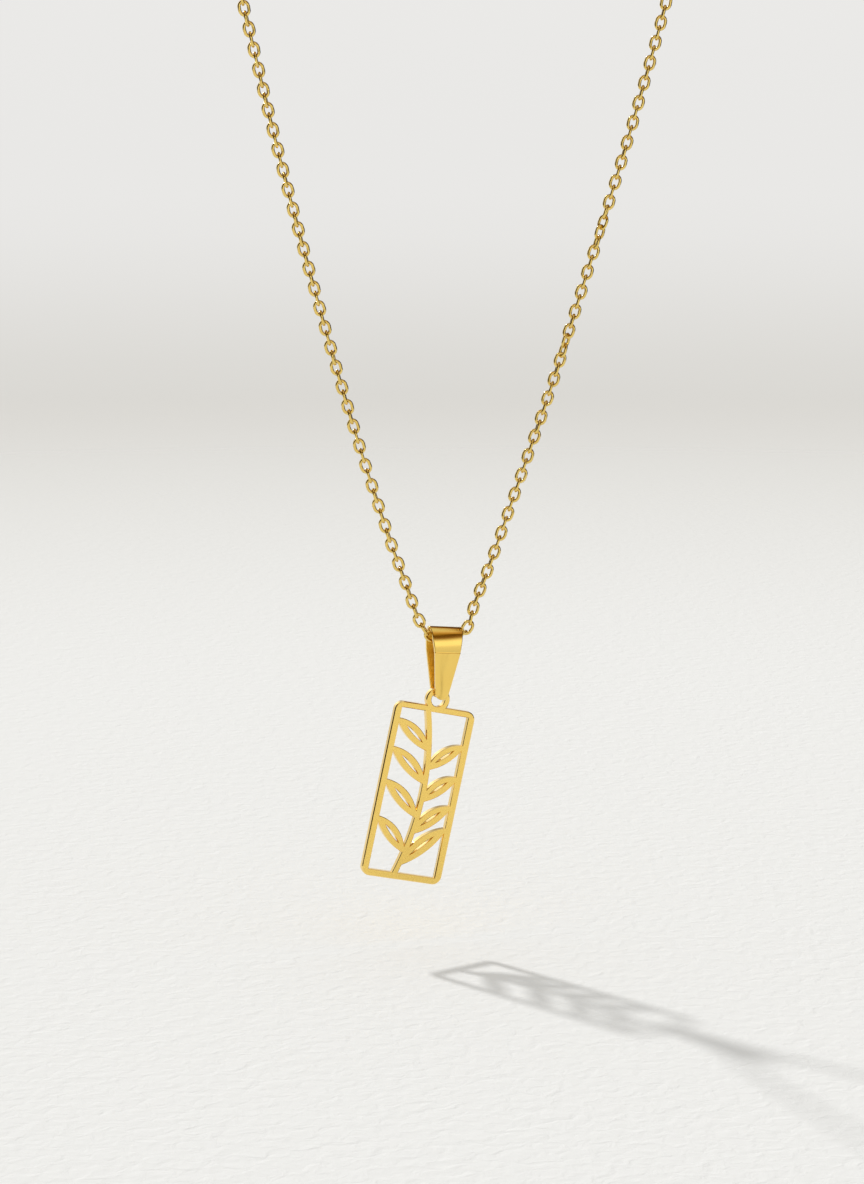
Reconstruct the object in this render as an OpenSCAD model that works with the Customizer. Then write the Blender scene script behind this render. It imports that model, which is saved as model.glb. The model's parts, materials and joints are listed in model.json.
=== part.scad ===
// Necklace of yellow metal: a pierced rectangular tag that hangs from a folded bail
// on a fine link chain. The row's origin is the middle of the clasp, at the nape.
// +X is the wearer's left as seen from in front, +Y is towards the back, +Z is up.

/* [Tag] */
// Width of the tag's plate
tag_w = 12; // [10:0.5:16]
// Height of the tag's plate, without its ring
tag_h = 25; // [22:0.5:30]
// Thickness of the plate
tag_t = 0.95; // [0.8:0.05:1]
// Width of the two side bars of the frame
side_bar = 1; // [0.8:0.05:1.4]
// Height of the frame's top bar
top_bar = 0.85; // [0.7:0.05:1.4]
// Height of the frame's bottom bar
bottom_bar = 0.95; // [0.7:0.05:1.4]
// Radius of the plate's outer corners
corner_r = 1.25; // [0.5:0.05:2]
// Outer radius of the ring on the top edge
ring_r = 1.75; // [1.6:0.05:2.2]
// Radius of the ring's hole
hole_r = 0.98; // [0.9:0.01:1.2]
// Height of the ring's centre above the top edge
ring_rise = 0.95; // [0.8:0.05:1.4]
// Lean of the tag, top towards +X
tag_tilt = 12.5; // [0:0.5:20]
// Direction from the hole's middle to the pin that it hangs on, from upright towards +X
pin_lean = 32; // [0:1:40]

/* [Ornament] */
// Radius of the bowed stem's middle line
stem_r = 40; // [30:1:80]
// Distance of the stem's middle from the tag's middle line
stem_bow = 0.7; // [0:0.1:1.5]
// Width of the stem
stem_w = 0.8; // [0.6:0.05:1.2]
// Width of the vein slits cut through the leaves
slit_w = 0.34; // [0.25:0.01:0.4]

/* [Bail] */
// Height of the bail, from the top of the fold to the tips
bail_h = 10.25; // [10.25:0.05:12]
// Width of the strip over the fold
bail_top_w = 4.8; // [4.4:0.1:5.5]
// Width that the strip loses for each millimetre down
bail_taper = 0.3; // [0.2:0.01:0.3]
// Thickness of the strip
strip_t = 0.5; // [0.35:0.05:0.5]
// Outer radius of the fold
fold_r = 1.55; // [1.5:0.05:1.9]
// Distance of the crease below the top of the fold
crease_drop = 3.4; // [3:0.1:4.5]
// Depth of the bail from front to back at the crease
crease_depth = 4.2; // [3.6:0.1:4.4]
// Depth of the bail from front to back at its tips
tip_depth = 2.15; // [2.15:0.05:2.6]
// Radius of the pin that joins the tips through the ring
pin_r = 0.3; // [0.25:0.01:0.4]
// Distance of the pin below the top of the fold
pin_drop = 9.8; // [9.5:0.05:9.8]
// Lean of the bail, top towards +X
bail_tilt = 5; // [0:0.5:10]

/* [Chain] */
// Diameter of the chain over its links
chain_d = 1.7; // [1.2:0.1:1.7]
// Height of the clasp above the chain's lowest point
drop = 152; // [148:1:156]
// Distance of the clasp behind the pendant
reach = 94; // [90:1:98]

/* [Clasp] */
// Thickness of the clasp
clasp_t = 2.2; // [1.6:0.1:2.6]
// Radius of the clasp's claw
claw_r = 2.6; // [2.4:0.1:3]
// Radius of the opening in the claw
claw_hole_r = 1.4; // [1.2:0.1:1.5]
// Outer radius of the clasp's eye
eye_r = 1.35; // [1.2:0.05:1.5]
// Thickness of the clasp's eye
eye_t = 0.7; // [0.6:0.05:0.8]
// Outer radius of the end ring that the claw holds
end_ring_r = 2.2; // [2.1:0.05:2.4]
// Thickness of the end ring's wire
end_wire = 0.6; // [0.4:0.05:0.6]

/* [Hidden] */
$fn = 64;

gold = "#EFCB5F";
gold_deep = "#DDB04A";

// Running gap between the pin and the ring's hole
pin_gap = 0.08;
// Overlap that fuses shapes of one solid
fuse = 0.3;
// Length of the cutters that pass through a whole piece
through = 40;

ring_z = tag_h/2 + ring_rise;

// Leaves: height of the foot on the stem, side, angle above level,
// bulge of the upper edge, bulge of the lower edge
LEAF_FOOT = 0;
LEAF_SIDE = 1;
LEAF_ANGLE = 2;
LEAF_UPPER = 3;
LEAF_LOWER = 4;
leaves = [
  [-10.6, 1, 46, 1.4, 0.8],
  [-8.7, -1, 43, 0.8, 1.3],
  [-5.9, 1, 43, 1.4, 0.7],
  [-3.6, -1, 40, 0.8, 1.4],
  [-1.2, 1, 42, 1.4, 0.7],
  [1.3, -1, 38, 0.8, 1.4],
  [3.4, 1, 41, 1.3, 0.7],
  [6.0, -1, 36, 0.8, 1.3]
];
// Depth that a leaf's tip runs into the side bar
tip_in = 0.4;
// Share of a leaf's length where its slit starts, and that the slit takes
slit_from = 0.24;
slit_share = 0.5;

// Chain route, from the fold's middle to the clasp, measured from the fold's middle:
// inside the bail the chain runs along the fold, then turns up by a small arc
bend_from = 2.15;
bend_r = 1.2;
bend_steps = 4;
tube_sides = 8;
ring_steps = 2;
left_turn = 64;
right_turn = 73;
left_route = [
  [-4.5, 0, 4.4], [-8.1, 0, 14.5], [-11.8, 0, 25.5], [-15.2, 0, 36.5], [-18.3, 0, 47.5],
  [-21.4, 0, 59], [-24.6, 0, 71], [-28.1, 0, 86], [-31, 1, 98], [-36, 6, 111],
  [-43, 17, 125], [-49, 33, 136], [-50, 52, 143], [-43, 70, 147.5], [-30, 83, 150],
  [-16, 91, 151.5], [-6.9, reach, drop]
];
right_route = [
  [4.5, 0, 4.3], [8.3, 0, 14], [12.2, 0, 24.5], [16, 0, 35], [19.6, 0, 46],
  [23.9, 0, 59], [27.9, 0, 71.5], [32.1, 0, 86], [35.5, 1, 98], [40, 6, 111],
  [46, 17, 125], [50, 33, 136], [50, 52, 143], [43, 70, 147.5], [30, 83, 150],
  [16, 91, 151.5], [6.3, reach, drop]
];

function unit(v) = v / norm(v);

// Turn of a point about Y, as rotate([0, a, 0]) does
function tilted(p, a) = [p.x*cos(a) + p.z*sin(a), p.y, p.z*cos(a) - p.x*sin(a)];

// Places shapes that are drawn about the fold's middle
module at_fold() translate([0, -reach, -drop]) children();

// Extrudes a flat drawing of X and Z evenly about the plane Y = 0
module plate(t) rotate([90, 0, 0]) linear_extrude(t, center = true) children();

// Radius of an arc over a chord
function arc_radius(chord, bulge) = (chord*chord/4 + bulge*bulge) / (2*bulge);

// Pointed leaf from the drawing's origin along +X, between two arcs
module leaf_outline(length, upper, lower) {
  upper_r = arc_radius(length, upper);
  lower_r = arc_radius(length, lower);
  intersection() {
    translate([length/2, upper - upper_r]) circle(upper_r);
    translate([length/2, lower_r - lower]) circle(lower_r);
  }
}

// X of the stem's middle line at a height
function stem_x(z) = stem_bow - stem_r + sqrt(stem_r*stem_r - z*z);

module stem_outline()
  intersection() {
    translate([stem_bow - stem_r, 0]) difference() {
      circle(stem_r + stem_w/2);
      circle(stem_r - stem_w/2);
    }
    translate([-tag_w/2, -tag_h/2 + bottom_bar - fuse])
      square([tag_w, tag_h - bottom_bar - top_bar + 2*fuse]);
  }

module place_leaf(leaf) {
  z = leaf[LEAF_FOOT];
  turn = leaf[LEAF_SIDE] > 0 ? leaf[LEAF_ANGLE] : 180 - leaf[LEAF_ANGLE];
  translate([stem_x(z), z]) rotate(turn) children();
}

// Length that takes a leaf from its foot to the side bar
function leaf_length(leaf) =
  (tag_w/2 - side_bar + tip_in - leaf[LEAF_SIDE]*stem_x(leaf[LEAF_FOOT])) / cos(leaf[LEAF_ANGLE]);

module leaf_blade(leaf)
  place_leaf(leaf) leaf_outline(leaf_length(leaf), leaf[LEAF_UPPER], leaf[LEAF_LOWER]);

module leaf_slit(leaf)
  place_leaf(leaf)
    translate([leaf_length(leaf)*slit_from, (leaf[LEAF_UPPER] - leaf[LEAF_LOWER])/2])
      leaf_outline(leaf_length(leaf)*slit_share, slit_w/2, slit_w/2);

module plate_outline() {
  inner_w = tag_w - 2*corner_r;
  inner_h = tag_h - 2*corner_r;
  square([tag_w, inner_h], center = true);
  square([inner_w, tag_h], center = true);
  for (x = [-inner_w/2, inner_w/2], z = [-inner_h/2, inner_h/2])
    translate([x, z]) circle(corner_r);
}

module frame_outline()
  difference() {
    union() {
      plate_outline();
      translate([0, ring_z]) circle(ring_r);
    }
    translate([-tag_w/2 + side_bar, -tag_h/2 + bottom_bar])
      square([tag_w - 2*side_bar, tag_h - bottom_bar - top_bar]);
  }

// The tag, drawn about the middle of its ring's hole
module tag_solid()
  difference() {
    translate([0, 0, -ring_z]) plate(tag_t) {
      frame_outline();
      stem_outline();
      intersection() {
        plate_outline();
        difference() {
          for (leaf = leaves) leaf_blade(leaf);
          for (leaf = leaves) leaf_slit(leaf);
        }
      }
    }
    rotate([90, 0, 0]) cylinder(r = hole_r, h = through, center = true);
  }

// The pin's middle, measured from the fold's middle
pin_at = tilted([0, 0, fold_r - pin_drop], bail_tilt);

module tag()
  color(gold)
    at_fold() translate(pin_at) rotate([0, pin_lean, 0])
      translate([0, 0, pin_r + pin_gap - hole_r])
        rotate([0, tag_tilt - pin_lean, 0]) tag_solid();

// Bail profile, seen from its end: the fold's middle is the origin
crease = [crease_depth/2, fold_r - crease_drop];
tip = [tip_depth/2, fold_r - bail_h];
// Direction that the upper side of the profile faces
upper_angle = atan2(crease.y, crease.x) + acos(fold_r/norm(crease));
upper_normal = [cos(upper_angle), sin(upper_angle)];
leaf_run = unit(tip - crease);
leaf_normal = [-leaf_run.y, leaf_run.x];

// Point where two lines meet, each given by its normal and its distance from the origin
function meet(n1, d1, n2, d2) =
  let (det = n1.x*n2.y - n1.y*n2.x)
  [(d1*n2.y - d2*n1.y)/det, (n1.x*d2 - n2.x*d1)/det];

// Outline of the folded strip's outer side, or of its inner side a thickness in
module fold_outline(inset) {
  r = fold_r - inset;
  top = upper_normal*r;
  bend = meet(upper_normal, r, leaf_normal, leaf_normal*crease - inset);
  foot = meet(leaf_normal, leaf_normal*crease - inset, [0, 1], tip.y);
  circle(r);
  polygon([top, bend, foot, [-foot.x, foot.y], [-bend.x, bend.y], [-top.x, top.y]]);
}

// Front outline of the strip: a taper that ends in a full round
module strip_outline() {
  side_angle = atan(bail_taper/2);
  tip_r = (bail_top_w/2 - bail_taper/2*bail_h)*cos(side_angle) / (1 - sin(side_angle));
  tip_z = fold_r - bail_h + tip_r;
  tangent = [tip_r*cos(side_angle), tip_z - tip_r*sin(side_angle)];
  half = bail_top_w/2;
  polygon([[half, fold_r], tangent, [-tangent.x, tangent.y], [-half, fold_r]]);
  translate([0, tip_z]) circle(tip_r);
}

module bail()
  color(gold)
    at_fold() rotate([0, bail_tilt, 0]) {
      intersection() {
        rotate([90, 0, 90]) linear_extrude(through, center = true) difference() {
          fold_outline(0);
          fold_outline(strip_t);
        }
        plate(through) strip_outline();
      }
      translate([0, 0, fold_r - pin_drop])
        rotate([90, 0, 0]) cylinder(r = pin_r, h = tip_depth - strip_t, center = true);
    }

// Points of the chain's turn out of the bail, to the side given by +1 or -1
function bend_points(side, turn) =
  [for (i = [0:bend_steps]) let (a = turn*i/bend_steps)
    tilted([side*(bend_from + bend_r*sin(a)), 0, bend_r*(1 - cos(a))], bail_tilt)];

// Smooth curve through the points, with the given number of steps between two of them
function through_points(p, steps) =
  let (last = len(p) - 1)
  concat(
    [for (i = [0:last - 1], k = [0:steps - 1])
      let (a = p[max(i - 1, 0)], b = p[i], c = p[i + 1], d = p[min(i + 2, last)], t = k/steps)
      (2*b + (c - a)*t + (2*a - 5*b + 4*c - d)*t*t + (3*b - a - 3*c + d)*t*t*t)/2],
    [p[last]]);

function tangents(p) =
  [for (i = [0:len(p) - 1]) unit(p[min(i + 1, len(p) - 1)] - p[max(i - 1, 0)])];

// Directions across the route that turn as little as they can from ring to ring
function normals(t, i, start) =
  i == len(t) ? [] :
  let (n = unit(start - (start*t[i])*t[i]))
  concat([n], normals(t, i + 1, n));

module tube(p, r) {
  t = tangents(p);
  n = normals(t, 0, [0, 1, 0]);
  last = len(p) - 1;
  points = [for (i = [0:last], k = [0:tube_sides - 1])
    p[i] + r*(cos(360*k/tube_sides)*n[i] + sin(360*k/tube_sides)*cross(t[i], n[i]))];
  walls = [for (i = [0:last - 1], k = [0:tube_sides - 1])
    let (a = i*tube_sides + k, b = i*tube_sides + (k + 1)%tube_sides)
    [a, a + tube_sides, b + tube_sides, b]];
  first_cap = [for (k = [0:tube_sides - 1]) k];
  last_cap = [for (k = [tube_sides - 1:-1:0]) last*tube_sides + k];
  polyhedron(points, concat(walls, [first_cap, last_cap]));
}

module half_chain(side, turn, route)
  color(gold_deep)
    at_fold() tube(concat([[0, 0, 0]], bend_points(side, turn), through_points(route, ring_steps)),
                   chain_d/2);

module chain_left() half_chain(-1, left_turn, left_route);
module chain_right() half_chain(1, right_turn, right_route);

// Two circles on the X axis and the straight sides that touch both
module tapered_outline(x1, r1, x2, r2) {
  a = asin((r1 - r2)/(x2 - x1));
  up = [sin(a), cos(a)];
  down = [sin(a), -cos(a)];
  translate([x1, 0]) circle(r1);
  translate([x2, 0]) circle(r2);
  polygon([[x1, 0] + r1*up, [x2, 0] + r2*up, [x2, 0] + r2*down, [x1, 0] + r1*down]);
}

// Middles of the claw, and of its opening, on the clasp's middle line
claw_x = -2;
claw_hole_x = -2.1;

// The ring hangs in the claw: inside it lies the claw's wall, with a small gap at the corners
module end_ring() {
  inner_r = end_ring_r - end_wire;
  gap = 0.1;
  wall_x = claw_hole_x - claw_hole_r;
  ring_x = wall_x + gap - sqrt(inner_r*inner_r - clasp_t*clasp_t/4);
  color(gold)
    translate([ring_x, 0, 0])
      rotate_extrude() translate([end_ring_r - end_wire/2, 0]) circle(end_wire/2);
}

module clasp() {
  neck_x = 2.6;
  neck_r = 1.2;
  eye_x = 4.7;
  eye_hole_r = 0.7;
  lever_at = [0.8, 2.2];
  lever_r = 0.7;
  color(gold)
    difference() {
      union() {
        plate(clasp_t) {
          tapered_outline(claw_x, claw_r, neck_x, neck_r);
          translate(lever_at) circle(lever_r);
        }
        plate(eye_t) translate([eye_x, 0]) circle(eye_r);
      }
      plate(through) {
        translate([claw_hole_x, 0]) circle(claw_hole_r);
        translate([eye_x, 0]) circle(eye_hole_r);
      }
    }
}

tag();
bail();
chain_left();
chain_right();
end_ring();
clasp();
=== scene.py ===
"""Tag necklace in yellow metal: the looks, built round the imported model.

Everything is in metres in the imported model's frame. Sizes are given in millimetres times MM.
"""

import json
import math

import bmesh
import bpy
import numpy as np
from mathutils import Matrix, Vector
from mathutils.geometry import tessellate_polygon


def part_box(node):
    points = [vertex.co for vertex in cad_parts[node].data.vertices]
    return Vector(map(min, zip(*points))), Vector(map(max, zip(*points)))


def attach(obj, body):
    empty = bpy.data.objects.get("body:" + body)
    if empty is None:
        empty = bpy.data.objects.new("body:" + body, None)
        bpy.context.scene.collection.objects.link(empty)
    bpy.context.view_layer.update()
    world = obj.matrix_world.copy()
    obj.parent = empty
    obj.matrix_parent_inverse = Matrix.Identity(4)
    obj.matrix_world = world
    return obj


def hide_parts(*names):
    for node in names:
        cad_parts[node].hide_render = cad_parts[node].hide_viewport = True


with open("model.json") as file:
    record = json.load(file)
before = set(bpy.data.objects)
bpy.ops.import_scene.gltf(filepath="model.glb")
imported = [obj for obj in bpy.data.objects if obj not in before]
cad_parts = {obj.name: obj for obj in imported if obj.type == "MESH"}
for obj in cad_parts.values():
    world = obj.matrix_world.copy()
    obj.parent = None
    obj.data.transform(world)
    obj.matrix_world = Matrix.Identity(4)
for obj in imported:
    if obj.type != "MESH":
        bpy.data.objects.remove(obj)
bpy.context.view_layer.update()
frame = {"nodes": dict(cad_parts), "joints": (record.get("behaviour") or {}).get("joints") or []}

bl_info = {
    "name": "Tag Necklace",
    "version": (1, 0, 0),
    "blender": (4, 5, 0),
    "location": "3D View > Sidebar > Necklace",
    "description": "Builds a link-chain necklace with a folded bail and a pierced tag",
    "category": "Object",
}

MM = 0.001

# The floor, 8 mm below the tag, and where it fades into the backdrop, round the pendant
FLOOR_Z = -195.5 * MM
FADE_FROM = 180 * MM
FADE_TO = 850 * MM
FLOOR_RADIUS = 1200 * MM
FLOOR_SIDES = 96
# Width and depth of the felt marks in the floor's paper
FELT_MARK = 2.2 * MM
FELT_DEPTH = 0.25 * MM
# The way that the sun's light falls, from the shadow on the floor
SUN_FALLS = Vector((0.418, -1.487, -1.0))
# The photograph's size in pixels
PICTURE_WIDTH = 864
PICTURE_HEIGHT = 1184
# Middle of the tag's plate, across and up. The camera is aimed from it
TAG_MIDDLE_X = -3.834 * MM
TAG_MIDDLE_Z = -173.807 * MM

# Points of a solid that are nearer to each other than this are one point, in metres
SAME_POINT = 1e-7
# Edges that turn by less than this many degrees look round
SMOOTH_UNDER = 35

# Where the bail's fold lies, and how the bail leans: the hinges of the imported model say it
joints = {joint["name"]: joint for joint in frame["joints"]}
FOLD = Vector(joints["bail_swing"]["pos_m"])
BAIL_AXIS = Vector(joints["bail_swing"]["axis"]).normalized()
BAIL_LEAN = math.atan2(-BAIL_AXIS.z, BAIL_AXIS.x)

# The chain's route in mm from the fold's middle. It is the solids' route, but near the bail it
# runs lower and flatter than their tubes, as the links lie inside the strip
LEFT_ROUTE = [
    (-1.2, 0, -0.1), (-1.86, 0, 0.12), (-2.48, 0, 0.64), (-2.93, 0, 1.3), (-3.35, 0, 1.95),
    (-3.76, 0, 2.62), (-4.25, 0, 3.95), (-4.74, 0, 5.31), (-5.7, 0, 8.02), (-6.86, 0, 11.1),
    (-8.1, 0, 14.5), (-11.75, 0, 25.5), (-15.1, 0, 36.5), (-18.25, 0, 47.5),
    (-21.4, 0, 59), (-24.5, 0, 71), (-28.1, 0, 86), (-31, 1, 98), (-36, 6, 111),
    (-43, 17, 125), (-49, 33, 136), (-50, 52, 143), (-43, 70, 147.5), (-30, 83, 150),
    (-16, 91, 151.5), (-6.05, 94, 152),
]
RIGHT_ROUTE = [
    (0.5, 0, -0.04), (1.2, 0, -0.09), (1.79, 0, -0.06), (2.42, 0, 0.26), (3.05, 0, 0.62),
    (3.44, 0, 1.24), (3.81, 0, 1.83), (4, 0, 2.5), (4.26, 0, 3.87), (5.29, 0, 6.41),
    (6.6, 0, 9.6), (8.3, 0, 14), (12.15, 0, 24.5), (15.95, 0, 35), (19.6, 0, 46),
    (23.9, 0, 59), (27.85, 0, 71.5), (32.1, 0, 86), (35.5, 1, 98), (40, 6, 111),
    (46, 17, 125), (50, 33, 136), (50, 52, 143), (43, 70, 147.5), (30, 83, 150),
    (16, 91, 151.5), (5.4, 94, 152),
]

# The links hang now tighter, now looser: distances in mm from the fold's middle, and by how
# much the links there are farther from it than even ones
LEFT_SLIP = [
    (2.78, 0), (7.5, 0.27), (13.6, 0.32), (19.6, 0.49), (28.6, 0.96), (37.6, 1.05), (47.6, 1.08),
    (57.6, 0.96), (71.6, 0.63), (87.6, 0.14), (240, 0),
]
RIGHT_SLIP = [
    (3.2, 0), (6.7, 0), (11.6, -0.2), (34.6, -0.3), (50.6, -0.58), (59.6, -0.53), (68.6, -0.37),
    (91.6, -0.4), (129.6, 0), (240, 0),
]

# What each link's point says of it
LINK_ATTRIBUTES = {"direction": "FLOAT_VECTOR", "facing": "FLOAT_VECTOR", "twist": "FLOAT"}

# What a maths node does
ADD = {"operation": "ADD"}
SUBTRACT = {"operation": "SUBTRACT"}
MULTIPLY = {"operation": "MULTIPLY"}
MULTIPLY_ADD = {"operation": "MULTIPLY_ADD"}


def linear(hex_code):
    """An sRGB hex colour as linear red, green, blue and alpha."""
    parts = [int(hex_code[i : i + 2], 16) / 255 for i in (1, 3, 5)]
    return [c / 12.92 if c <= 0.04045 else ((c + 0.055) / 1.055) ** 2.4 for c in parts] + [1.0]


def colour_setting(name, description, hex_code):
    """A colour that the user can change."""
    return bpy.props.FloatVectorProperty(
        name=name, description=description, default=linear(hex_code)[:3], subtype="COLOR"
    )


def add_node(tree, kind, settings=None, inputs=None):
    """Adds a node. inputs holds a value, socket or node for each input, by name or number."""
    node = tree.nodes.new(kind)
    for name, value in (settings or {}).items():
        setattr(node, name, value)
    for name, value in (inputs or {}).items():
        if isinstance(value, bpy.types.Node):
            value = value.outputs[0]
        if isinstance(value, bpy.types.NodeSocket):
            tree.links.new(value, node.inputs[name])
        else:
            node.inputs[name].default_value = value
    return node


def new_object(name, mesh, *materials):
    """Links a mesh into the scene as an object with these materials."""
    piece = bpy.data.objects.new(name, mesh)
    bpy.context.scene.collection.objects.link(piece)
    for material in materials:
        mesh.materials.append(material)
    return piece


def mesh_from(name, points, faces, material_numbers=None):
    """A mesh whose edges look round where they turn by less than SMOOTH_UNDER degrees."""
    mesh = bpy.data.meshes.new(name)
    mesh.from_pydata([tuple(p) for p in points], [], faces)
    if material_numbers is not None:
        mesh.polygons.foreach_set("material_index", material_numbers)
    mesh.polygons.foreach_set("use_smooth", [True] * len(mesh.polygons))
    mesh.set_sharp_from_angle(angle=math.radians(SMOOTH_UNDER))
    mesh.update()
    return mesh


# Materials. The marks of blasting, drawing and tumbling are 0.02 to 0.05 mm wide, too fine to
# show in the render, so each grain here is drawn as coarse as it needs to be to show


def gold_plate(
    name, light, deep, roughness, grain, grain_depth, brushed=1.0, patch=3 * MM, coat=0.0
):
    """Gold plating with a fine grain. light and deep are the ends of its change in colour.

    grain is the width of the grain's marks, grain_depth their depth, and brushed how much
    longer they are than wide, along Z. patch is the width of the patches of colour, and coat
    the share of the surface under clear lacquer.
    """
    unevenness = 0.2
    material = bpy.data.materials.new(name)
    material.use_nodes = True
    tree = material.node_tree
    shader = tree.nodes["Principled BSDF"]
    place = add_node(tree, "ShaderNodeTexCoord").outputs["Object"]
    stretched = add_node(
        tree, "ShaderNodeMapping", {}, {"Vector": place, "Scale": (1, 1, 1 / brushed)}
    )
    patches = add_node(
        tree, "ShaderNodeTexNoise", {}, {"Vector": place, "Scale": 1 / patch, "Detail": 2.0}
    )
    marks = add_node(
        tree, "ShaderNodeTexNoise", {}, {"Vector": stretched, "Scale": 1 / grain, "Detail": 3.0}
    )
    tint = add_node(
        tree, "ShaderNodeMix", {"data_type": "RGBA"},
        {"Factor": patches.outputs["Fac"], "A": (*light, 1.0), "B": (*deep, 1.0)},
    )
    rough = add_node(
        tree, "ShaderNodeMapRange", {},
        {
            "Value": marks.outputs["Fac"],
            "To Min": roughness * (1 - unevenness),
            "To Max": roughness * (1 + unevenness),
        },
    )
    bump = add_node(
        tree, "ShaderNodeBump", {},
        {"Height": marks.outputs["Fac"], "Distance": grain_depth, "Strength": 1.0},
    )
    tree.links.new(tint.outputs["Result"], shader.inputs["Base Color"])
    tree.links.new(rough.outputs["Result"], shader.inputs["Roughness"])
    tree.links.new(bump.outputs["Normal"], shader.inputs["Normal"])
    shader.inputs["Metallic"].default_value = 1.0
    shader.inputs["Coat Weight"].default_value = coat
    shader.inputs["Coat Roughness"].default_value = roughness
    return material


def satin_gold(tag):
    """Gold-plated sheet, finely blasted: an even, soft shine with hardly any mirror image."""
    return gold_plate(
        "Satin gold plate", tag.light, tag.deep,
        roughness=0.27, grain=0.12 * MM, grain_depth=0.00008 * MM,
    )


def cut_edge_gold(tag):
    """Gold-plated cut edges, tumbled bright: narrow clear highlights."""
    return gold_plate(
        "Bright gold cut edge", tag.edge_light, tag.edge_deep,
        roughness=0.13, grain=0.2 * MM, grain_depth=0.0008 * MM,
    )


def strip_gold(bail):
    """Gold-plated rolled strip, polished and drawn lengthwise: crisp bands over the fold."""
    return gold_plate(
        "Polished gold strip", bail.light, bail.deep,
        roughness=0.11, grain=0.08 * MM, grain_depth=0.0006 * MM, brushed=6.0, coat=0.8,
    )


def inner_gold(bail):
    """The strip's inner side, blasted and left dull: deep gold that glows between the leaves."""
    return gold_plate(
        "Dull gold strip inside", bail.inner_light, bail.inner_deep,
        roughness=0.5, grain=0.3 * MM, grain_depth=0.036 * MM, patch=0.5 * MM,
    )


def wire_gold(chain):
    """Gold-plated drawn wire, tumbled: small bright points and deep reflections."""
    return gold_plate(
        "Tumbled gold wire", chain.light, chain.deep,
        roughness=0.11, grain=0.15 * MM, grain_depth=0.001 * MM,
    )


def cast_gold(clasp):
    """Gold-plated casting, polished, with a faint unevenness left from the mould."""
    return gold_plate(
        "Polished gold casting", clasp.light, clasp.deep,
        roughness=0.18, grain=0.35 * MM, grain_depth=0.003 * MM,
    )


# Shapes


def smooth_route(points, steps):
    """A smooth curve through the points, with the same number of steps between any two."""
    p = np.array(points, float)
    last = len(p) - 1
    t = np.arange(steps)[:, None] / steps
    pieces = []
    for i in range(last):
        a, b, c, d = p[max(i - 1, 0)], p[i], p[i + 1], p[min(i + 2, last)]
        squared = 2 * a - 5 * b + 4 * c - d
        cubed = 3 * b - a - 3 * c + d
        pieces.append((2 * b + (c - a) * t + squared * t**2 + cubed * t**3) / 2)
    return np.vstack(pieces + [p[last]])


def half_route(route, steps=16):
    """One half of the chain's route, from the fold's middle to the clasp, in mm from the fold."""
    return smooth_route([(0, 0, 0)] + route, steps)


class Route:
    """The whole chain's route, from the left end through the bail to the right end.

    Distances along it are in mm from the fold's middle, below zero on the left.
    """

    def __init__(self):
        left = half_route(LEFT_ROUTE)
        right = half_route(RIGHT_ROUTE)
        self.points = np.vstack([left[::-1], right[1:]])
        lengths = np.linalg.norm(np.diff(self.points, axis=0), axis=1)
        self.along = np.concatenate([[0], np.cumsum(lengths)])
        self.along -= self.along[len(left) - 1]

    def at(self, distance):
        """The route's points at these distances."""
        places = [np.interp(distance, self.along, self.points[:, i]) for i in range(3)]
        return np.stack(places, axis=-1)


def smoothstep(value):
    """An even passage from 0 to 1, with soft ends."""
    value = np.clip(value, 0, 1)
    return value * value * (3 - 2 * value)


def unit(vectors):
    """The same directions with a length of 1."""
    return vectors / np.linalg.norm(vectors, axis=-1, keepdims=True)


def link_meetings(route, chain):
    """Distances along the route at which two links touch, from the left end to the right."""
    left = np.linspace(chain.left_start, -route.along[0], chain.left_links + 1)[::-1]
    left = -(left + np.interp(left, *zip(*LEFT_SLIP)))
    right = np.linspace(chain.right_start, route.along[-1], chain.right_links + 1)
    right += np.interp(right, *zip(*RIGHT_SLIP))
    inside = np.linspace(-chain.left_start, chain.right_start, chain.bail_links + 1)[1:-1]
    return np.concatenate([left, inside, right])


def link_places(chain):
    """A mesh of one point for each link, with its direction, the way it faces and its twist."""
    route = Route()
    meetings = link_meetings(route, chain)
    ends = route.at(meetings)
    centres = (ends[:-1] + ends[1:]) / 2
    directions = unit(ends[1:] - ends[:-1])
    middles = (meetings[:-1] + meetings[1:]) / 2
    # Face-on links look out of the neck, and at the chest all look one way
    outward = unit(centres * (1, 1, 0) - (0, chain.neck_depth, 0))
    view_turn = math.radians(chain.chest_turn)
    chest = np.array([math.sin(view_turn), -math.cos(view_turn), 0])
    share = smoothstep((centres[:, 2:3] - chain.chest_below) / chain.chest_blend)
    facing = unit(outward * share + chest * (1 - share))
    # A quarter turn is lost at each of the chain's two kinks
    twist = np.zeros(len(middles))
    for place, length in (
        (chain.lower_kink, chain.lower_kink_length),
        (chain.upper_kink, chain.upper_kink_length),
    ):
        twist += np.clip((middles - place) / length + 0.5, 0, 1) * math.pi / 2
    mesh = bpy.data.meshes.new("link_places")
    mesh.from_pydata([FOLD + Vector(c) * MM for c in centres], [], [])
    for (name, kind), values in zip(LINK_ATTRIBUTES.items(), (directions, facing, twist)):
        attribute = mesh.attributes.new(name, kind, "POINT")
        field = "vector" if kind == "FLOAT_VECTOR" else "value"
        attribute.data.foreach_set(field, values.astype(np.float32).ravel())
    return mesh


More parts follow.
